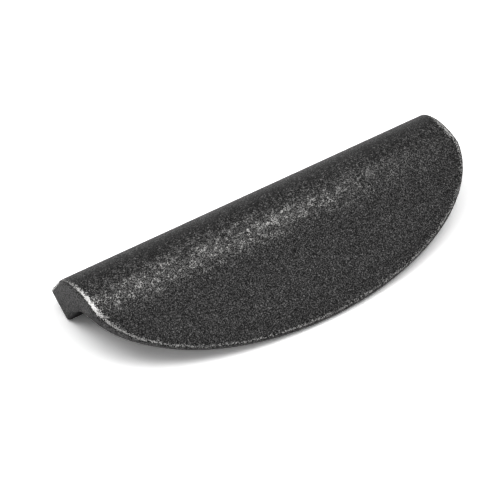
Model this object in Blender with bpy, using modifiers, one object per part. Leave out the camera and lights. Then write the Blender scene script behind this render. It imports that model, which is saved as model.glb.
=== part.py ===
"""Half-moon cabinet handle: one zinc die casting with two tapped screw holes.

The handle is drawn as it sits on a drawer front. The origin is the centre of the mounting
face, +Z is up and the handle stands out towards -Y. Lengths are in metres, angles in degrees.

The casting is what two extruded outlines have in common. Seen from its end it is the section:
a bar against the drawer front, a round shoulder and a thin apron that hangs down in front.
Seen from the front it is the half moon: the bar's straight ends and half an ellipse below.
"""

import math

import bmesh
import bpy
import numpy
from mathutils import Matrix

# Half moon, seen from the front
LENGTH = 0.120
BAR_HEIGHT = 0.0100
APRON_DROP = 0.0317

# Section of the outer side, from the back of the top face down to the lip
TOP_DEPTH = 0.0078
CREST_RADIUS = 0.0060
CREST_ANGLE = 25.0
SHOULDER_RADIUS = 0.0175
APRON_FLARE = 5.2

# Section of the hollow behind the apron, from the mounting face down to the lip
HEEL_RADIUS = 0.0012
UNDERSIDE_DEPTH = 0.0082
THROAT_RADIUS = 0.0080
HOLLOW_DRAFT = 16.5
LIP_BLEND_RADIUS = 0.0250
LIP_THICKNESS = 0.0021

# Worn, rounded edges of the casting
EDGE_RADIUS = 0.0006
EDGE_ANGLE = 35.0

# Two tapped holes in the mounting face, for machine screws through the drawer front
SCREW_SPACING = 0.0960
TAP_DRILL_DIAMETER = 0.0033
TAP_DEPTH = 0.0100
TAP_POINT_ANGLE = 118.0
MOUTH_DIAMETER = 0.0044

# How finely round stretches are drawn: chords, the widest bend between two of them, and steps
SECTION_CHORD = 0.0011
OUTLINE_CHORD = 0.0013
WIDEST_BEND = 30.0
HOLE_SIDES = 32
EDGE_STEPS = 3

# Fine points for each drawn point of a path, which the path is measured by
FINE_STEPS = 40

# How far the throat has turned where the half moon's straight ends pass into its ellipse
THROAT_TURN_AT_ENDS = 45.0

# Points this close are one point, and faces that bend less than this are one flat face
SAME_POINT = 0.00001
FLAT_ANGLE = 0.05

# How far the two extruded outlines reach past each other, and a cutter past its face
REACH = 0.004

# Section points (out, up) run along the length; half-moon points (x, z) run along the depth
SECTION_TO_WORLD = Matrix(((0, 0, 1, 0), (-1, 0, 0, 0), (0, 1, 0, 0), (0, 0, 0, 1)))
FRONT_TO_WORLD = Matrix(((1, 0, 0, 0), (0, 0, -1, 0), (0, 1, 0, 0), (0, 0, 0, 1)))

# Black antique coating on zinc
PEWTER = (0.045, 0.044, 0.043, 1.0)
PEWTER_METALLIC = 0.6
PEWTER_ROUGHNESS = 0.5


def clear_scene():
    for obj in list(bpy.data.objects):
        bpy.data.objects.remove(obj, do_unlink=True)


def new_collection(name):
    collection = bpy.data.collections.new(name)
    bpy.context.scene.collection.children.link(collection)
    return collection


def pewter_material():
    material = bpy.data.materials.new("antique_pewter")
    material.use_nodes = True
    shader = material.node_tree.nodes["Principled BSDF"]
    shader.inputs["Base Color"].default_value = PEWTER
    shader.inputs["Metallic"].default_value = PEWTER_METALLIC
    shader.inputs["Roughness"].default_value = PEWTER_ROUGHNESS
    return material


class Path:
    """A line drawn step by step in the section plane: out is away from the drawer front.

    Its slope is 0 straight out and 90 straight down. The points are those that the section
    is drawn with. The fine points follow the same line closely enough to measure it by.
    """

    def __init__(self, out, up, slope):
        self.slope = slope
        self.points = []
        self.fine_points = []
        self.move_to(out, up)

    def move_to(self, out, up, drawn=True):
        self.out = out
        self.up = up
        self.fine_points.append((out, up))
        if drawn:
            self.points.append((out, up))

    def straight(self, length):
        slope = math.radians(self.slope)
        self.move_to(self.out + length * math.cos(slope), self.up - length * math.sin(slope))

    def bend(self, radius, angle):
        """Turn on an arc, downwards by a positive angle and upwards by a negative one."""
        arc_length = radius * math.radians(abs(angle))
        steps = math.ceil(max(arc_length / SECTION_CHORD, abs(angle) / WIDEST_BEND))
        side = math.copysign(radius, angle)
        start = math.radians(self.slope)
        centre_out = self.out - side * math.sin(start)
        centre_up = self.up - side * math.cos(start)
        for step in range(1, steps * FINE_STEPS + 1):
            turned = start + math.radians(angle) * step / (steps * FINE_STEPS)
            out = centre_out + side * math.sin(turned)
            up = centre_up + side * math.cos(turned)
            self.move_to(out, up, drawn=step % FINE_STEPS == 0)
        self.slope += angle

    def out_at(self, level):
        """How far out the line is at a height, where the line only runs down."""
        fallen = [-up for out, up in self.fine_points]
        outs = [out for out, up in self.fine_points]
        return float(numpy.interp(-level, fallen, outs))


def outer_path():
    """Top face, crest, shoulder and the apron's front, which leans out by the flare."""
    top = BAR_HEIGHT / 2
    apron_slope = 90.0 - APRON_FLARE
    path = Path(0.0, top, slope=0.0)
    path.straight(TOP_DEPTH)
    path.bend(CREST_RADIUS, CREST_ANGLE)
    path.bend(SHOULDER_RADIUS, apron_slope - CREST_ANGLE)
    to_tip = path.up + BAR_HEIGHT / 2 + APRON_DROP + REACH
    path.straight(to_tip / math.cos(math.radians(APRON_FLARE)))
    return path


def inner_path(outer):
    """Heel, underside, throat and the apron's back, which ends parallel to its front."""
    taper = HOLLOW_DRAFT - APRON_FLARE
    underside = -BAR_HEIGHT / 2
    path = Path(0.0, underside + HEEL_RADIUS, slope=90.0)
    path.bend(HEEL_RADIUS, -90.0)
    path.straight(UNDERSIDE_DEPTH - HEEL_RADIUS)
    path.bend(THROAT_RADIUS, 90.0 - HOLLOW_DRAFT)
    wall_here = wall_thickness(outer, path.out, path.up)
    gained_by_blend = LIP_BLEND_RADIUS * (1.0 - math.cos(math.radians(taper)))
    thinning = wall_here - gained_by_blend - LIP_THICKNESS
    path.straight(thinning / math.sin(math.radians(taper)))
    path.bend(LIP_BLEND_RADIUS, taper)
    to_tip = path.up - outer.up
    path.straight(to_tip / math.cos(math.radians(APRON_FLARE)))
    return path


def wall_thickness(outer, out, up):
    """Distance from a point of the hollow to the apron's front, square to the front."""
    flare = math.radians(APRON_FLARE)
    return (outer.out - out) * math.cos(flare) + (outer.up - up) * math.sin(flare)


def rim_levels(inner):
    """Heights of the rim's points, from the underside to the tip of the half moon.

    The section and the half moon are both drawn through these heights, so each point of the
    rim is a corner of both. They follow the throat first, and then the ellipse.
    """
    underside = -BAR_HEIGHT / 2
    throat_end = underside - THROAT_RADIUS * (1.0 - math.sin(math.radians(HOLLOW_DRAFT)))
    levels = [up for out, up in inner.points if underside > up > throat_end - SAME_POINT]
    reached = math.asin((underside - throat_end) / APRON_DROP)
    rim_length = (math.pi / 2 - reached) * math.hypot(LENGTH / 2, APRON_DROP) / math.sqrt(2)
    steps = math.ceil(rim_length / OUTLINE_CHORD)
    for step in range(1, steps + 1):
        turned = reached + (math.pi / 2 - reached) * step / steps
        levels.append(underside - APRON_DROP * math.sin(turned))
    return levels


def half_width(level):
    """Half the width of the half moon at a height below the bar."""
    fallen = (-BAR_HEIGHT / 2 - level) / APRON_DROP
    return LENGTH / 2 * math.sqrt(max(0.0, 1.0 - fallen ** 2))


def drawn_through(levels, path):
    """The path's own points above the first level, one at each level, and its end."""
    above = [(out, up) for out, up in path.points if up > levels[0] + SAME_POINT]
    below = [(path.out_at(level), level) for level in levels]
    return above + below + [(path.out, path.up)]


def section_outline(outer, inner, levels):
    return drawn_through(levels, outer) + drawn_through(levels, inner)[::-1]


def half_moon_outline(levels):
    """The bar's ends and half an ellipse under them, as (x, z).

    The ends run down with a slight draft to where the throat has turned far enough, so that
    no facet of the ellipse meets the throat's edge at a grazing angle.
    """
    top = BAR_HEIGHT / 2
    fallen = THROAT_RADIUS * (1.0 - math.cos(math.radians(THROAT_TURN_AT_ENDS)))
    ellipse = [(half_width(level), level) for level in levels[:-1] if level < -top - fallen]
    first_x, first_level = ellipse[0]
    draft = (LENGTH / 2 - first_x) / (top - first_level)
    right = [(LENGTH / 2 + draft * REACH, top + REACH)] + ellipse
    left = [(-x, z) for x, z in right]
    return right + [(0.0, levels[-1])] + left[::-1]


def mesh_of(obj, name):
    """The object's mesh as its modifiers leave it, in world coordinates."""
    bpy.context.view_layer.update()
    evaluated = obj.evaluated_get(bpy.context.evaluated_depsgraph_get())
    mesh = bpy.data.meshes.new_from_object(evaluated)
    mesh.name = name
    mesh.transform(obj.matrix_world)
    return mesh


def extruded(name, points, thickness, to_world, collection):
    """A flat outline drawn as a filled curve, given a thickness and made a closed mesh."""
    curve = bpy.data.curves.new(name + "_outline", "CURVE")
    curve.dimensions = "2D"
    curve.fill_mode = "BOTH"
    curve.extrude = thickness / 2
    spline = curve.splines.new("POLY")
    spline.points.add(len(points) - 1)
    for point, (across, upward) in zip(spline.points, points):
        point.co = (across, upward, 0.0, 1.0)
    spline.use_cyclic_u = True
    drawn = bpy.data.objects.new(name + "_outline", curve)
    collection.objects.link(drawn)
    drawn.matrix_world = to_world
    mesh = mesh_of(drawn, name)
    bpy.data.objects.remove(drawn, do_unlink=True)
    welded = bmesh.new()
    welded.from_mesh(mesh)
    bmesh.ops.remove_doubles(welded, verts=welded.verts, dist=SAME_POINT)
    bmesh.ops.recalc_face_normals(welded, faces=welded.faces)
    welded.to_mesh(mesh)
    welded.free()
    solid = bpy.data.objects.new(name, mesh)
    collection.objects.link(solid)
    return solid


def hide_cutter(obj):
    obj.hide_render = True
    obj.display_type = "WIRE"


def screw_hole(name, x, cutters):
    """Drilled hole with a drill point and a 90 degree countersink, turned about its axis."""
    radius = TAP_DRILL_DIAMETER / 2
    mouth = MOUTH_DIAMETER / 2
    point = radius / math.tan(math.radians(TAP_POINT_ANGLE / 2))
    profile = [
        (0.0, REACH),
        (mouth + REACH, REACH),
        (radius, radius - mouth),
        (radius, -TAP_DEPTH),
        (0.0, -TAP_DEPTH - point),
    ]
    mesh = bpy.data.meshes.new(name)
    turned = bmesh.new()
    verts = [turned.verts.new((across, 0.0, height)) for across, height in profile]
    for first, second in zip(verts, verts[1:]):
        turned.edges.new((first, second))
    turned.to_mesh(mesh)
    turned.free()
    cutter = bpy.data.objects.new(name, mesh)
    cutters.objects.link(cutter)
    hide_cutter(cutter)
    cutter.location = (x, 0.0, 0.0)
    cutter.rotation_euler = (math.radians(-90.0), 0.0, 0.0)
    screw = cutter.modifiers.new("turn", "SCREW")
    screw.axis = "Z"
    screw.steps = HOLE_SIDES
    screw.render_steps = HOLE_SIDES
    screw.use_merge_vertices = True
    screw.merge_threshold = SAME_POINT
    return cutter


def common_solid(blank, half_moon):
    """Mesh of what the two extruded outlines have in common."""
    common = blank.modifiers.new("half moon", "BOOLEAN")
    common.operation = "INTERSECT"
    common.solver = "EXACT"
    common.object = half_moon
    return mesh_of(blank, "handle")


def flat_faces_joined(mesh):
    """The apron's flat front and the back of its lip each become one face."""
    casting = bmesh.new()
    casting.from_mesh(mesh)
    bmesh.ops.remove_doubles(casting, verts=casting.verts, dist=SAME_POINT)
    flat = math.radians(FLAT_ANGLE)
    bmesh.ops.dissolve_limit(casting, angle_limit=flat, verts=casting.verts, edges=casting.edges)
    casting.to_mesh(mesh)
    casting.free()


def cast_handle(parts, cutters):
    """The casting: the section cut to the half moon, its edges rounded, then drilled."""
    outer = outer_path()
    inner = inner_path(outer)
    levels = rim_levels(inner)
    section = section_outline(outer, inner, levels)
    depth = max(out for out, up in section)
    blank = extruded("section_blank", section, LENGTH + 2 * REACH, SECTION_TO_WORLD, cutters)
    middle = Matrix.Translation((0.0, -depth / 2, 0.0))
    half_moon = extruded(
        "half_moon", half_moon_outline(levels), depth + 2 * REACH, middle @ FRONT_TO_WORLD, cutters
    )
    hide_cutter(blank)
    hide_cutter(half_moon)

    mesh = common_solid(blank, half_moon)
    flat_faces_joined(mesh)
    mesh.shade_smooth()
    mesh.set_sharp_from_angle(angle=math.radians(EDGE_ANGLE))
    mesh.materials.clear()
    mesh.materials.append(pewter_material())
    handle = bpy.data.objects.new("handle", mesh)
    parts.objects.link(handle)

    edges = handle.modifiers.new("worn edges", "BEVEL")
    edges.limit_method = "ANGLE"
    edges.angle_limit = math.radians(EDGE_ANGLE)
    edges.width = EDGE_RADIUS
    edges.segments = EDGE_STEPS
    edges.use_clamp_overlap = False
    edges.loop_slide = False

    for name, side in (("left_hole", -1), ("right_hole", 1)):
        drilled = handle.modifiers.new(name, "BOOLEAN")
        drilled.operation = "DIFFERENCE"
        drilled.solver = "EXACT"
        drilled.object = screw_hole(name, side * SCREW_SPACING / 2, cutters)


def main():
    clear_scene()
    parts = new_collection("cabinet_handle")
    cutters = new_collection("cutters")
    cast_handle(parts, cutters)


main()
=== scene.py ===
import math

import bmesh
import bpy
from mathutils import Matrix, Vector, kdtree, noise


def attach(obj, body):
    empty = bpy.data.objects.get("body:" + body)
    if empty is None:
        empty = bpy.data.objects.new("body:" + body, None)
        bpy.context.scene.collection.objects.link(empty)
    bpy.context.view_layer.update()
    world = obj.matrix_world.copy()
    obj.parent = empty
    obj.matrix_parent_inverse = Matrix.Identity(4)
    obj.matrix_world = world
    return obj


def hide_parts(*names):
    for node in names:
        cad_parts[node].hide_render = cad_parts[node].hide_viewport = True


mm = 0.001
scene = bpy.context.scene

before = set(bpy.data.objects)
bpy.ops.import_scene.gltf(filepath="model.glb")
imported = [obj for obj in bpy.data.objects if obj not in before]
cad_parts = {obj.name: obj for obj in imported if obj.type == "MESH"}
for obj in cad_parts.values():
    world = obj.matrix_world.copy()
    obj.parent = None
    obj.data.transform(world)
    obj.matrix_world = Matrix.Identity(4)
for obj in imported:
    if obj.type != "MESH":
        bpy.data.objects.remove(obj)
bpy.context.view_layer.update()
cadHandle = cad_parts["handle"]
print("frame loaded")


# small helpers

def linearColour(hexColour):
    parts = [int(hexColour[i:i + 2], 16) / 255 for i in (1, 3, 5)]
    return [c / 12.92 if c <= 0.04045 else ((c + 0.055) / 1.055) ** 2.4 for c in parts] + [1.0]


def addNode(tree, kind, inputs=None, **settings):
    # inputs are numbers, colours or the sockets that feed them
    node = tree.nodes.new(kind)
    for name, value in settings.items():
        setattr(node, name, value)
    for name, value in (inputs or {}).items():
        if isinstance(value, bpy.types.NodeSocket):
            tree.links.new(value, node.inputs[name])
        else:
            node.inputs[name].default_value = value
    return node


def newMaterial(name):
    material = bpy.data.materials.new(name)
    material.use_nodes = True
    material.node_tree.nodes.clear()
    return material, material.node_tree


def addObject(name, data):
    obj = bpy.data.objects.new(name, data)
    scene.collection.objects.link(obj)
    return obj


def objectFrom(shape, name):
    mesh = bpy.data.meshes.new(name)
    shape.to_mesh(mesh)
    shape.free()
    return addObject(name, mesh)


def finishedMesh(obj, name):
    # the mesh as the modifiers leave it; the object that carried them goes
    bpy.context.view_layer.update()
    mesh = bpy.data.meshes.new_from_object(obj.evaluated_get(bpy.context.evaluated_depsgraph_get()))
    mesh.name = name
    bpy.data.objects.remove(obj, do_unlink=True)
    return mesh


# the casting: a copy of the CAD solid, its screw holes closed, drawn again in fine cells

casting = {
    "cell": 0.42 * mm,          # side of a fine mesh cell
    "weld": 0.01 * mm,          # corners nearer to each other than this are one
    "smoothing": 0.5,           # takes out the solid's chords and the cells' steps
    "smoothRounds": 6,
    "holeReach": 2.5 * mm,      # round a screw's axis, this much belongs to the hole
    "holeBottom": 12.0 * mm,    # and so much in depth, which is past the drill's point
}

screws = {
    "spacing": 96.0 * mm,
    "drill": 3.3 * mm,
    "depth": 10.0 * mm,
    "pointAngle": 118.0,
    "mouth": 4.4 * mm,          # across the countersink at the mounting face
    "clear": 1.0 * mm,          # the drilled shape starts this far in front of the mounting face
    "thread": 4.0 * mm,         # outer diameter
    "pitch": 0.7 * mm,
    "flank": 30.0,              # half of the thread's 60 degrees
    "crestFlat": 0.08 * mm,
    "overlap": 0.15 * mm,       # of the thread's groove with the drilled hole
    "turns": 12,
    "sides": 40,
}
holePlaces = (-screws["spacing"] / 2, screws["spacing"] / 2)


def solidWithoutHoles():
    shape = bmesh.new()
    shape.from_mesh(cadHandle.data)
    bmesh.ops.remove_doubles(shape, verts=shape.verts, dist=casting["weld"])
    inHole = []
    for vert in shape.verts:
        aside = min(math.hypot(vert.co.x - x, vert.co.z) for x in holePlaces)
        if aside < casting["holeReach"] and casting["weld"] < -vert.co.y < casting["holeBottom"]:
            inHole.append(vert)
    bmesh.ops.delete(shape, geom=inHole, context="VERTS")
    bmesh.ops.holes_fill(shape, edges=[edge for edge in shape.edges if edge.is_boundary], sides=0)
    return shape


def fineCasting():
    blank = objectFrom(solidWithoutHoles(), "blank")
    remesh = blank.modifiers.new("fine cells", "REMESH")
    remesh.mode = "VOXEL"
    remesh.voxel_size = casting["cell"]
    smooth = blank.modifiers.new("take steps out", "SMOOTH")
    smooth.factor = casting["smoothing"]
    smooth.iterations = casting["smoothRounds"]
    return finishedMesh(blank, "castHandle")


fineMesh = fineCasting()
print("fine casting:", len(fineMesh.polygons), "faces")


# the rim: the edge where the outer side ends

rimLine = {
    "outward": 0.6,             # a face that looks out or up by this much is on the outer side
    "backEdge": 1.0 * mm,       # nearer to the mounting face than this, an edge is no rim
    "step": 0.25 * mm,          # between the points that stand for the rim
}


def lookingOut(normal):
    return math.hypot(max(0.0, -normal.y), max(0.0, normal.z))


def rimTree():
    shape = bmesh.new()
    shape.from_mesh(cadHandle.data)
    bmesh.ops.remove_doubles(shape, verts=shape.verts, dist=casting["weld"])
    bmesh.ops.recalc_face_normals(shape, faces=shape.faces)
    points = []
    for edge in shape.edges:
        outside = [lookingOut(face.normal) > rimLine["outward"] for face in edge.link_faces]
        first, second = (vert.co for vert in edge.verts)
        isRim = len(outside) == 2 and outside[0] != outside[1]
        if isRim and max(first.y, second.y) < -rimLine["backEdge"]:
            count = max(1, math.ceil((second - first).length / rimLine["step"]))
            points += [first.lerp(second, i / count) for i in range(count + 1)]
    shape.free()
    tree = kdtree.KDTree(len(points))
    for i, point in enumerate(points):
        tree.insert(point, i)
    tree.balance()
    return tree


rim = rimTree()


# slight unevenness of the casting and small dings along its rim, all of it inwards from the true shape

uneven = {
    "depth": 0.03 * mm,         # the most that the face wavers
    "wave": 2.2 * mm,           # across a blob of that noise
    "dingDepth": 0.12 * mm,     # and the same two for the dings
    "dingWave": 1.1 * mm,
    "dingFrom": 0.1,            # noise above this level is a ding
    "dingReach": 0.5 * mm,      # from the rim
    "trueFace": 0.1 * mm,       # the mounting face stays true
    "trueUntil": 3.0 * mm,      # and the unevenness fades in over this much in front of it
}


def roughen(mesh, tree):
    moved = []
    for vert in mesh.vertices:
        if vert.co.y > -uneven["trueFace"]:
            moved.extend(vert.co)
            continue
        wave = 0.5 + 0.5 * noise.noise(vert.co / uneven["wave"])    # 0 to 1
        inwards = uneven["depth"] * wave
        distance = tree.find(vert.co)[2]
        if distance < uneven["dingReach"]:
            ding = max(0.0, noise.noise(vert.co / uneven["dingWave"]) - uneven["dingFrom"])
            inwards += uneven["dingDepth"] * ding * (1.0 - distance / uneven["dingReach"])
        fade = min(1.0, -vert.co.y / uneven["trueUntil"])
        moved.extend(vert.co - vert.normal * inwards * fade)
    mesh.vertices.foreach_set("co", moved)
    mesh.update()


roughen(fineMesh, rim)
print("casting made uneven")


# screw holes, drilled and tapped

def holeCutter(x):
    # a profile spun about the screw's axis, from in front of the face to the drill's point
    radius = screws["drill"] / 2
    mouth = screws["mouth"] / 2
    clear = screws["clear"]
    point = radius / math.tan(math.radians(screws["pointAngle"] / 2))
    profile = [
        (0.0, clear),
        (mouth + clear, clear),
        (radius, radius - mouth),
        (radius, -screws["depth"]),
        (0.0, -screws["depth"] - point),
    ]
    shape = bmesh.new()
    verts = [shape.verts.new((x + r, y, 0.0)) for r, y in profile]
    edges = [shape.edges.new(pair) for pair in zip(verts, verts[1:])]
    bmesh.ops.spin(shape, geom=verts + edges, cent=(x, 0.0, 0.0), axis=(0.0, 1.0, 0.0),
                   angle=math.tau, steps=screws["sides"], use_merge=True)
    bmesh.ops.remove_doubles(shape, verts=shape.verts, dist=casting["weld"])
    bmesh.ops.recalc_face_normals(shape, faces=shape.faces)
    return shape


def threadCutter(x):
    # thread groove: a trapezium wound round the axis as one closed coil, from half a pitch in front
    inner = screws["drill"] / 2 - screws["overlap"]
    outer = screws["thread"] / 2
    half = screws["crestFlat"] / 2
    foot = half + (outer - inner) * math.tan(math.radians(screws["flank"]))
    start = screws["pitch"] / 2
    shape = bmesh.new()
    corners = [(inner, foot), (outer, half), (outer, -half), (inner, -foot)]
    face = shape.faces.new([shape.verts.new((x + r, start + y, 0.0)) for r, y in corners])
    bmesh.ops.spin(shape, geom=[face], cent=(x, 0.0, 0.0), axis=(0.0, 1.0, 0.0),
                   dvec=(0.0, -screws["pitch"] / screws["sides"], 0.0),
                   angle=math.tau * screws["turns"], steps=screws["turns"] * screws["sides"])
    bmesh.ops.recalc_face_normals(shape, faces=shape.faces)
    return shape


def cut(mesh, cutters):
    body = addObject("body", mesh)
    for cutter in cutters:
        boolean = body.modifiers.new(cutter.name, "BOOLEAN")
        boolean.operation = "DIFFERENCE"
        boolean.solver = "EXACT"
        boolean.object = cutter
    done = finishedMesh(body, "castHandle")
    for cutter in cutters:
        bpy.data.objects.remove(cutter, do_unlink=True)
    return done


cutters = [objectFrom(holeCutter(x), "drill") for x in holePlaces]
cutters += [objectFrom(threadCutter(x), "tap") for x in holePlaces]
handleMesh = cut(fineMesh, cutters)
handleMesh.shade_smooth()
print("drilled and tapped:", len(handleMesh.polygons), "faces")

handlePiece = addObject("castHandle", handleMesh)
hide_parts("handle")
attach(handlePiece, "root")


# marks for the finish and for painted shade and a painted highlight, kept as attributes of the mesh; places,
# widths and reaches are in mm

finishAndLightMarks = ("outerSide", "rimWear", "rimShine", "rubbed", "blotchy", "coatLevelAndCrestHighlight", "paintedUndersideShade")

marks = {
    "outwardEdge": 0.25,        # the outer side ends over this much of looking out
    "crown": 0.89,              # a face of the rim's rounding that looks out less keeps its coating
    "crownEdge": 0.14,
    "unworn": -1.5,             # wear of the rim's own face
    "strayReach": 0.9,          # stray wear dies away from the rim over this much
    # height on the left rim and on the right one, and how far the bare metal reaches in from it
    "wearLeft": [(-36.7, 0.64), (-30.0, 0.64), (-24.0, 0.82), (-15.0, 0.95), (-10.0, 1.4), (-8.0, 1.7),
                 (-6.0, 1.6), (-4.5, 1.4), (-2.0, 1.2), (0.5, 1.0), (3.5, 0.95)],
    "wearRight": [(-36.7, 0.64), (-20.0, 0.6), (-10.0, 0.75), (-4.0, 1.25), (0.0, 1.15), (3.0, 0.6),
                  (4.5, 0.1)],
    # the same heights, and how bright that metal is
    "shineLeft": [(-36.7, 0.27), (-27.0, 0.27), (-20.0, 0.38), (-13.0, 0.42), (-10.0, 0.65), (-7.5, 1.0),
                  (-4.5, 1.0), (-2.0, 0.95), (-0.5, 0.7), (1.0, 0.45), (4.0, 0.35)],
    "shineRight": [(-36.7, 0.27), (-13.0, 0.22), (-8.0, 0.42), (-4.0, 0.55), (0.0, 0.3), (3.0, 0.08),
                   (4.5, 0.05)],
    # height on the outer side, and how far the coating's tops are rubbed through there
    "rubbedHeight": [(-15.0, 0.0), (-12.0, 0.06), (-9.5, 0.37), (-8.0, 0.8), (-6.6, 1.0), (-5.0, 0.72),
                     (-3.5, 0.32), (-1.5, 0.08), (0.5, 0.0)],
    # place along the handle's length, and the share of that
    "rubbedLength": [(-58.0, 0.5), (-53.0, 0.9), (-42.0, 1.0), (0.0, 1.0), (12.0, 0.78), (24.0, 0.49),
                     (36.0, 0.32), (46.0, 0.28), (60.0, 0.06)],
    # height on the outer side, and how blotchy the coating is
    "blotchyHeight": [(-7.0, 0.0), (-3.5, 0.8), (-1.0, 1.0), (1.5, 0.7), (3.5, 0.0)],
    # height on the outer side, and how light the coating is: darker over the upper shoulder, and lifted near
    # the crest as a painted highlight where it catches the grazing light
    "coatHeightAndCrestHighlight": [(-20.0, 1.0), (-9.0, 0.9), (-5.0, 0.65), (-2.5, 0.52), (0.5, 0.46), (1.7, 0.51),
                   (2.4, 0.64), (3.0, 0.97), (3.5, 1.25), (4.1, 1.8), (4.5, 1.3)],
    # distance from the rim, and the share of that
    "coatRim": [(0.0, 0.7), (1.5, 0.78), (4.0, 0.9), (8.0, 1.0)],
    "underside": 0.95,          # painted shade: share of its colour that a face looking down under the bar loses, where the bar shades it
    "undersideFrom": -12.0,     # height from which a face that looks down is under the bar
}


def between(value, table):
    # straight-line reading of a table of (place, amount)
    for (low, first), (high, second) in zip(table, table[1:]):
        if value < high:
            return first + (second - first) * max(0.0, value - low) / (high - low)
    return table[-1][1]


def softStep(value, middle, width):
    # 0 below the middle and 1 above it, with a straight slope of this width
    return min(1.0, max(0.0, (value - middle) / width + 0.5))


def markFinish(mesh, tree):
    found = {name: [] for name in finishAndLightMarks}
    for vert in mesh.vertices:
        nearest, _, distance = tree.find(vert.co)
        distance /= mm
        length, _, height = vert.co / mm
        rimHeight = nearest.z / mm
        side = "Left" if nearest.x < 0.0 else "Right"
        looking = lookingOut(vert.normal)
        out = softStep(looking, rimLine["outward"], marks["outwardEdge"])
        crown = softStep(looking, marks["crown"], marks["crownEdge"])
        width = between(rimHeight, marks["wear" + side])
        shine = between(rimHeight, marks["shine" + side])
        rubbed = between(height, marks["rubbedHeight"]) * between(length, marks["rubbedLength"])
        stray = shine * math.exp(-distance / marks["strayReach"])
        # a face that looks down under the bar gets painted shade
        down = max(0.0, -vert.normal.z) if height > marks["undersideFrom"] else 0.0
        found["outerSide"].append(out)
        found["rimWear"].append(marks["unworn"] + (width - marks["unworn"]) * crown - distance)
        found["rimShine"].append(shine)
        found["rubbed"].append(out * min(1.0, rubbed + stray))
        found["blotchy"].append(out * between(height, marks["blotchyHeight"]))
        # the coating's level, with a painted highlight near the crest
        found["coatLevelAndCrestHighlight"].append(between(height, marks["coatHeightAndCrestHighlight"]) * between(distance, marks["coatRim"]))
        found["paintedUndersideShade"].append(1.0 - marks["underside"] * down)
    for name, values in found.items():
        mesh.attributes.new(name, "FLOAT", "POINT").data.foreach_set("value", values)


markFinish(handleMesh, rim)
print("finish marked")


# antique pewter on cast zinc: a black coating with a fine wormy grain, rubbed back to bare metal
# on the shoulder and along the rim, so it is dull and dark with specks that shine; its colour also holds
# painted shade under the bar and a painted highlight near the crest

pewter = {
    "dark": "#131313",          # coating in the grain's hollows
    "light": "#828181",         # coating on the grain's tops
    "rubbed": "#a5a4a3",        # grain's tops where the shoulder is rubbed through, and flecks above it
    "curl": "#cfcecc",          # bare metal in short curls where the rubbing goes deepest
    "plain": "#0c0c0c",         # smooth coating of the ends, the back and the hollow, in its hollows
    "plainLight": "#6a6969",    # and on its tops
    "bare": "#ecebe9",          # bare metal of the rim where hands polish it
    "bareDull": "#6c6b6b",      # and where it has dulled
    # mm across a blob of each noise, its detail, and how far it is drawn out into curls
    "clouds": {
        "grain": (0.27, 1.0, 0.9),      # coarser than the real grain so that it shows
        "sand": (0.37, 1.0, 0.5),       # grain of the smooth coating, coarser for the same reason
        "curls": (0.7, 1.0, 1.2),
        "clusters": (1.8, 1.0, 0.6),
        "blotches": (1.3, 2.0, 0.9),
        "flecks": (0.4, 0.5, 0.6),
        "spurs": (0.9, 2.0, 0.8),
    },
    "cloudRoughness": 0.55,     # how strong each noise's finer detail is
    "hollow": 0.34,             # grain level of a hollow
    "tops": (0.72, 0.66),       # grain level of a top, on sound coating and on rubbed
    "sharpness": 2.6,           # the higher, the narrower the tops
    "blotchEdges": (0.46, 0.64),    # noise levels over which a blotch comes in
    "blotchGain": 1.7,          # how much it lightens the coating
    "curlWidth": 0.07,          # noise level from a curl's middle to its side
    "clusterEdges": (0.52, 0.62),   # noise levels over which a cluster of curls comes in
    "curlGrain": (0.42, 0.58),  # grain levels over which a curl breaks up
    "curlGain": 2.4,            # how boldly the curls show
    "fleckEdges": (0.66, 0.74),     # noise levels over which a fleck comes in
    "fleckGain": 0.7,           # the most that a fleck covers
    "sandEdges": (0.385, 0.615),    # noise levels of a hollow and of a top
    "ragged": {"grain": 3.0, "spurs": 2.4},     # mm by which these noises shift the rim's wear
    "rimEdge": 0.22,            # mm to either side over which the rim's metal passes into the coating
    "kept": (0.44, 0.58),       # grain levels below which a dull rim keeps its coating, and above which not
    "glintEdges": (0.3, 0.55),  # grain levels over which the rim's metal brightens
    "glint": (0.3, 1.1),        # shares of its shine below them and above
    "metallic": 0.9,
    "roughness": (0.5, 0.36),   # of the coating and of bare metal
    "edgeTint": 0.75,           # shine left at a grazing angle
    "bumpDepth": 0.05 * mm,
    "bumpStrength": 0.7,
}


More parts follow.
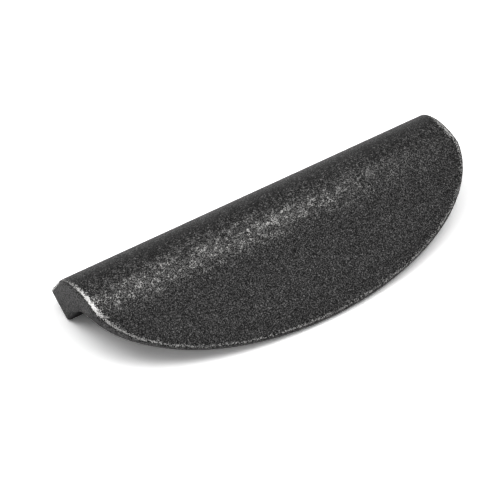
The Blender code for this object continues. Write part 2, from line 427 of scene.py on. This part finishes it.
def grainCoating(tree, cloud, mark):
    # dark hollows and lighter tops of the grain, the tops rubbed through on the shoulder; its level, by
    # height and nearness to the rim, carries a painted highlight near the crest
    top = addNode(tree, "ShaderNodeMapRange", {
        "Value": mark["rubbed"], "To Min": pewter["tops"][0], "To Max": pewter["tops"][1],
    }).outputs["Result"]
    raised = addNode(tree, "ShaderNodeMapRange", {
        "Value": cloud["grain"], "From Min": pewter["hollow"], "From Max": top,
    }).outputs["Result"]
    raised = addNode(tree, "ShaderNodeMath", {0: raised, 1: pewter["sharpness"]},
                     operation="POWER").outputs[0]
    topColour = addNode(tree, "ShaderNodeMix", {
        0: mark["rubbed"], 6: linearColour(pewter["light"]), 7: linearColour(pewter["rubbed"]),
    }, data_type="RGBA").outputs[2]
    coat = addNode(tree, "ShaderNodeMix", {
        0: raised, 6: linearColour(pewter["dark"]), 7: topColour,
    }, data_type="RGBA").outputs[2]
    blotch = addNode(tree, "ShaderNodeMapRange", {
        "Value": cloud["blotches"], "From Min": pewter["blotchEdges"][0],
        "From Max": pewter["blotchEdges"][1], "To Max": pewter["blotchGain"],
    }, interpolation_type="SMOOTHSTEP").outputs["Result"]
    gain = addNode(tree, "ShaderNodeMath", {0: blotch, 1: mark["blotchy"], 2: 1.0},
                   operation="MULTIPLY_ADD").outputs[0]
    # this level carries the painted highlight near the crest
    level = addNode(tree, "ShaderNodeMath", {0: gain, 1: mark["coatLevelAndCrestHighlight"]},
                    operation="MULTIPLY").outputs[0]
    return addNode(tree, "ShaderNodeVectorMath", {0: coat, "Scale": level},
                   operation="SCALE").outputs["Vector"]


def curlShare(tree, cloud, mark):
    # short curls along the middle level of a noise, in clusters, where the shoulder is rubbed most
    off = addNode(tree, "ShaderNodeMath", {0: cloud["curls"], 1: 0.5}, operation="SUBTRACT").outputs[0]
    off = addNode(tree, "ShaderNodeMath", {0: off}, operation="ABSOLUTE").outputs[0]
    curl = addNode(tree, "ShaderNodeMapRange", {
        "Value": off, "From Max": pewter["curlWidth"], "To Min": 1.0, "To Max": 0.0,
    }).outputs["Result"]
    cluster = addNode(tree, "ShaderNodeMapRange", {
        "Value": cloud["clusters"], "From Min": pewter["clusterEdges"][0],
        "From Max": pewter["clusterEdges"][1],
    }).outputs["Result"]
    broken = addNode(tree, "ShaderNodeMapRange", {
        "Value": cloud["grain"], "From Min": pewter["curlGrain"][0], "From Max": pewter["curlGrain"][1],
    }).outputs["Result"]
    for share in (cluster, broken, mark["rubbed"]):
        curl = addNode(tree, "ShaderNodeMath", {0: curl, 1: share}, operation="MULTIPLY").outputs[0]
    return addNode(tree, "ShaderNodeMath", {0: curl, 1: pewter["curlGain"]},
                   operation="MULTIPLY", use_clamp=True).outputs[0]


def fleckShare(tree, cloud, mark):
    # scattered flecks above the rubbed band
    fleck = addNode(tree, "ShaderNodeMapRange", {
        "Value": cloud["flecks"], "From Min": pewter["fleckEdges"][0],
        "From Max": pewter["fleckEdges"][1], "To Max": pewter["fleckGain"],
    }).outputs["Result"]
    return addNode(tree, "ShaderNodeMath", {0: fleck, 1: mark["blotchy"]},
                   operation="MULTIPLY").outputs[0]


def smoothCoating(tree, cloud, mark):
    # ends, back and hollow, which nothing rubs; faces that look down under the bar get painted shade
    sand = addNode(tree, "ShaderNodeMapRange", {
        "Value": cloud["sand"], "From Min": pewter["sandEdges"][0], "From Max": pewter["sandEdges"][1],
    }).outputs["Result"]
    plain = addNode(tree, "ShaderNodeMix", {
        0: sand, 6: linearColour(pewter["plain"]), 7: linearColour(pewter["plainLight"]),
    }, data_type="RGBA").outputs[2]
    # painted shade under the bar
    return addNode(tree, "ShaderNodeVectorMath", {0: plain, "Scale": mark["paintedUndersideShade"]},
                   operation="SCALE").outputs["Vector"]


def bareShare(tree, cloud, mark):
    # bare metal along the rim's edge, ragged inwards, and on the grain's tops only where it is dull
    worn = mark["rimWear"]
    for name, shift in pewter["ragged"].items():
        worn = addNode(tree, "ShaderNodeMath", {0: cloud[name], 1: shift, 2: worn},
                       operation="MULTIPLY_ADD").outputs[0]
    middle = sum(pewter["ragged"].values()) / 2
    bare = addNode(tree, "ShaderNodeMapRange", {
        "Value": worn, "From Min": middle - pewter["rimEdge"], "From Max": middle + pewter["rimEdge"],
    }).outputs["Result"]
    onTops = addNode(tree, "ShaderNodeMapRange", {
        "Value": cloud["grain"], "From Min": pewter["kept"][0], "From Max": pewter["kept"][1],
    }).outputs["Result"]
    cleared = addNode(tree, "ShaderNodeMix", {0: mark["rimShine"], 2: onTops, 3: 1.0},
                      data_type="FLOAT").outputs[0]
    return addNode(tree, "ShaderNodeMath", {0: bare, 1: cleared}, operation="MULTIPLY").outputs[0]


def rimMetal(tree, cloud, mark):
    # dull to polished, and brighter on the grain's tops
    glint = addNode(tree, "ShaderNodeMapRange", {
        "Value": cloud["grain"], "From Min": pewter["glintEdges"][0],
        "From Max": pewter["glintEdges"][1], "To Min": pewter["glint"][0], "To Max": pewter["glint"][1],
    }).outputs["Result"]
    shine = addNode(tree, "ShaderNodeMath", {0: mark["rimShine"], 1: glint},
                    operation="MULTIPLY").outputs[0]
    return addNode(tree, "ShaderNodeMix", {
        0: shine, 6: linearColour(pewter["bareDull"]), 7: linearColour(pewter["bare"]),
    }, data_type="RGBA").outputs[2]


def pewterMaterial():
    material, tree = newMaterial("antiquePewterOnCastZinc")
    place = addNode(tree, "ShaderNodeTexCoord").outputs["Object"]
    inMm = addNode(tree, "ShaderNodeMapping", {"Vector": place, "Scale": [1 / mm] * 3}).outputs["Vector"]
    cloud = {}
    for name, (size, detail, curl) in pewter["clouds"].items():
        cloud[name] = addNode(tree, "ShaderNodeTexNoise", {
            "Vector": inMm, "Scale": 1 / size, "Detail": detail,
            "Roughness": pewter["cloudRoughness"], "Distortion": curl,
        }).outputs["Fac"]
    mark = {}
    for name in finishAndLightMarks:
        mark[name] = addNode(tree, "ShaderNodeAttribute", attribute_name=name).outputs["Fac"]

    coat = addNode(tree, "ShaderNodeMix", {
        0: curlShare(tree, cloud, mark), 6: grainCoating(tree, cloud, mark),
        7: linearColour(pewter["curl"]),
    }, data_type="RGBA").outputs[2]
    coat = addNode(tree, "ShaderNodeMix", {
        0: fleckShare(tree, cloud, mark), 6: coat, 7: linearColour(pewter["rubbed"]),
    }, data_type="RGBA").outputs[2]
    coat = addNode(tree, "ShaderNodeMix", {
        0: mark["outerSide"], 6: smoothCoating(tree, cloud, mark), 7: coat,
    }, data_type="RGBA").outputs[2]
    bare = bareShare(tree, cloud, mark)
    colour = addNode(tree, "ShaderNodeMix", {0: bare, 6: coat, 7: rimMetal(tree, cloud, mark)},
                     data_type="RGBA").outputs[2]

    roughness = addNode(tree, "ShaderNodeMapRange", {
        "Value": bare, "To Min": pewter["roughness"][0], "To Max": pewter["roughness"][1],
    }).outputs["Result"]
    bump = addNode(tree, "ShaderNodeBump", {
        "Height": cloud["grain"], "Distance": pewter["bumpDepth"], "Strength": pewter["bumpStrength"],
    }).outputs["Normal"]
    shader = addNode(tree, "ShaderNodeBsdfPrincipled", {
        "Base Color": colour, "Metallic": pewter["metallic"], "Roughness": roughness,
        "Specular Tint": [pewter["edgeTint"]] * 3 + [1.0], "Normal": bump,
    })
    addNode(tree, "ShaderNodeOutputMaterial", {"Surface": shader.outputs["BSDF"]})
    return material


handleMesh.materials.clear()
handleMesh.materials.append(pewterMaterial())
print("finish made")


# the photograph's view

view = {
    "azimuth": -23.76,          # degrees, as are the next two
    "elevation": -6.84,
    "roll": -27.96,
    "distance": 936.2 * mm,
    "target": (-2.068 * mm, 1.300 * mm, -7.969 * mm),
    "lens": 245.0,              # Blender gives lens and sensor in millimetres
    "sensor": 36.0,
}


def makeCamera():
    data = bpy.data.cameras.new("camera")
    data.lens = view["lens"]
    data.sensor_width = view["sensor"]
    camera = addObject("camera", data)
    turn = (Matrix.Rotation(math.radians(view["azimuth"]), 4, "Z")
            @ Matrix.Rotation(math.radians(90.0 - view["elevation"]), 4, "X")
            @ Matrix.Rotation(math.radians(view["roll"]), 4, "Z"))
    back = Matrix.Translation((0.0, 0.0, view["distance"]))
    camera.matrix_world = Matrix.Translation(view["target"]) @ turn @ back
    scene.camera = camera
    return camera


camera = makeCamera()
scene.view_settings.view_transform = "Standard"


# stage: a pale floor that the handle lies on with its face up, resting on its heel and its lip

stage = {
    "heelWithin": 2.0 * mm,     # the heel lies this near to the mounting face
    "lipBeyond": 10.0 * mm,     # and the lip this far from it
    "guess": (0.0, -0.8, 0.6),  # roughly up, where the search for the resting place starts
    "rounds": 4,                # of that search
    "size": 3.0,                # metres
    "white": 0.92,              # the paper as it lights the handle and mirrors in it
    "whiteToCamera": 1.42,      # for the camera only, so that the open floor shows as paper white
    "clearFrom": 0.10,          # metres from the handle where the floor starts to fade to plain white
    "clearTo": 0.22,
    "ambient": 0.42,            # strength of the world as a light
}


def restingUp():
    # upward normal of the plane that touches the heel and the lip from behind, and a point on it
    points = [vert.co for vert in cadHandle.data.vertices]
    heels = [p for p in points if p.y > -stage["heelWithin"]]
    lips = [p for p in points if p.y < -stage["lipBeyond"]]
    up = Vector(stage["guess"])
    for _ in range(stage["rounds"]):
        heel = min(heels, key=up.dot)
        lip = min(lips, key=up.dot)
        along = lip - heel
        along.x = 0.0
        up = Vector((0.0, along.z, -along.y)).normalized()
    return up, up * up.dot(heel)


floorUp, floorPoint = restingUp()
print("floor up:", [round(value, 4) for value in floorUp])


def floorAxes():
    # right, away from the camera and up, as the camera sees the floor
    away = -(camera.matrix_world.to_3x3() @ Vector((0, 0, 1)))
    away = (away - floorUp * away.dot(floorUp)).normalized()
    return Matrix((away.cross(floorUp), away, floorUp)).transposed()


axes = floorAxes()


def paperMaterial():
    # mat white paper, an even white without gloss that takes the handle's shadow; the camera and
    # reflections see it fade to plain white further out, and to the camera it is clear from below
    material, tree = newMaterial("matWhitePaper")
    rays = addNode(tree, "ShaderNodeLightPath").outputs
    place = addNode(tree, "ShaderNodeTexCoord").outputs["Object"]
    far = addNode(tree, "ShaderNodeVectorMath", {0: place}, operation="LENGTH").outputs["Value"]
    clear = addNode(tree, "ShaderNodeMapRange", {
        "Value": far, "From Min": stage["clearFrom"], "From Max": stage["clearTo"],
    }, interpolation_type="SMOOTHSTEP").outputs["Result"]
    lift = addNode(tree, "ShaderNodeMapRange", {
        "Value": rays["Is Camera Ray"], "To Min": stage["white"], "To Max": stage["whiteToCamera"],
    }).outputs["Result"]
    near = addNode(tree, "ShaderNodeBsdfDiffuse", {"Color": lift}).outputs[0]
    white = addNode(tree, "ShaderNodeEmission", {"Strength": 1.0}).outputs[0]
    seen = addNode(tree, "ShaderNodeMath", {0: rays["Is Camera Ray"], 1: rays["Is Glossy Ray"]},
                   operation="MAXIMUM").outputs[0]
    fade = addNode(tree, "ShaderNodeMath", {0: clear, 1: seen}, operation="MULTIPLY").outputs[0]
    front = addNode(tree, "ShaderNodeMixShader", {0: fade, 1: near, 2: white}).outputs[0]
    behind = addNode(tree, "ShaderNodeBsdfTransparent").outputs[0]
    backFace = addNode(tree, "ShaderNodeNewGeometry").outputs["Backfacing"]
    through = addNode(tree, "ShaderNodeMath", {0: backFace, 1: rays["Is Camera Ray"]},
                      operation="MULTIPLY").outputs[0]
    both = addNode(tree, "ShaderNodeMixShader", {0: through, 1: front, 2: behind}).outputs[0]
    addNode(tree, "ShaderNodeOutputMaterial", {"Surface": both})
    return material


def makeFloor():
    shape = bmesh.new()
    bmesh.ops.create_grid(shape, x_segments=1, y_segments=1, size=stage["size"] / 2)
    shape.transform(Matrix.Translation(floorPoint) @ axes.to_4x4())
    floor = objectFrom(shape, "floor")
    floor.data.materials.append(paperMaterial())


makeFloor()


def makeWorld():
    # plain white to the camera, in reflections and through glass, and a dimmer light otherwise
    world = bpy.data.worlds.new("whiteStudio")
    world.use_nodes = True
    tree = world.node_tree
    tree.nodes.clear()
    rays = addNode(tree, "ShaderNodeLightPath").outputs
    seen = rays["Is Camera Ray"]
    for kind in ("Is Glossy Ray", "Is Transmission Ray"):
        seen = addNode(tree, "ShaderNodeMath", {0: seen, 1: rays[kind]}, operation="MAXIMUM").outputs[0]
    strength = addNode(tree, "ShaderNodeMapRange", {
        "Value": seen, "To Min": stage["ambient"], "To Max": 1.0,
    }).outputs["Result"]
    sky = addNode(tree, "ShaderNodeBackground", {
        "Color": (1.0, 1.0, 1.0, 1.0), "Strength": strength,
    }).outputs[0]
    addNode(tree, "ShaderNodeOutputWorld", {"Surface": sky})
    scene.world = world


makeWorld()


# softboxes: metres, watts and degrees; azimuth 0 stands behind the handle as the camera sees it,
# 90 to its right

lamps = {
    "left": {"azimuth": -85.0, "elevation": 60.0, "distance": 0.8,
             "side": 0.6, "power": 2.8, "inGloss": False},
    "right": {"azimuth": 85.0, "elevation": 72.0, "distance": 0.8,
              "side": 0.6, "power": 2.35, "inGloss": False},
    "fill": {"azimuth": 85.0, "elevation": 30.0, "distance": 0.8,
             "side": 0.5, "power": 0.5, "inGloss": False},
    "sheen": {"azimuth": 42.0, "elevation": 65.0, "distance": 0.8,
              "side": 0.5, "power": 0.4, "inGloss": True},
}

# lights the mounting face and the hollow from the drawer's side; here azimuth 0 is the handle's own +Y
backLamp = {"azimuth": 0.0, "elevation": 15.0, "distance": 0.6, "side": 0.1, "power": 3.5, "inGloss": True}


def towardsLamp(lamp):
    azimuth = math.radians(lamp["azimuth"])
    elevation = math.radians(lamp["elevation"])
    level = math.cos(elevation)
    return Vector((math.sin(azimuth) * level, math.cos(azimuth) * level, math.sin(elevation)))


def addSoftbox(name, lamp, towards):
    data = bpy.data.lights.new(name, "AREA")
    data.shape = "SQUARE"
    data.size = lamp["side"]
    data.energy = lamp["power"]
    softbox = addObject(name, data)
    softbox.location = towards * lamp["distance"]
    softbox.rotation_mode = "QUATERNION"
    softbox.rotation_quaternion = towards.to_track_quat("Z", "Y")
    softbox.visible_camera = False
    softbox.visible_glossy = lamp["inGloss"]
    return softbox


def lightOnlyHandle(softbox):
    # the floor neither takes this light nor shades it
    onlyHandle = bpy.data.collections.new("handleOnly")
    onlyHandle.objects.link(handlePiece)
    softbox.light_linking.receiver_collection = onlyHandle
    softbox.light_linking.blocker_collection = onlyHandle


for name, lamp in lamps.items():
    addSoftbox(name, lamp, axes @ towardsLamp(lamp))
lightOnlyHandle(addSoftbox("back", backLamp, towardsLamp(backLamp)))
print("stage and lights made")
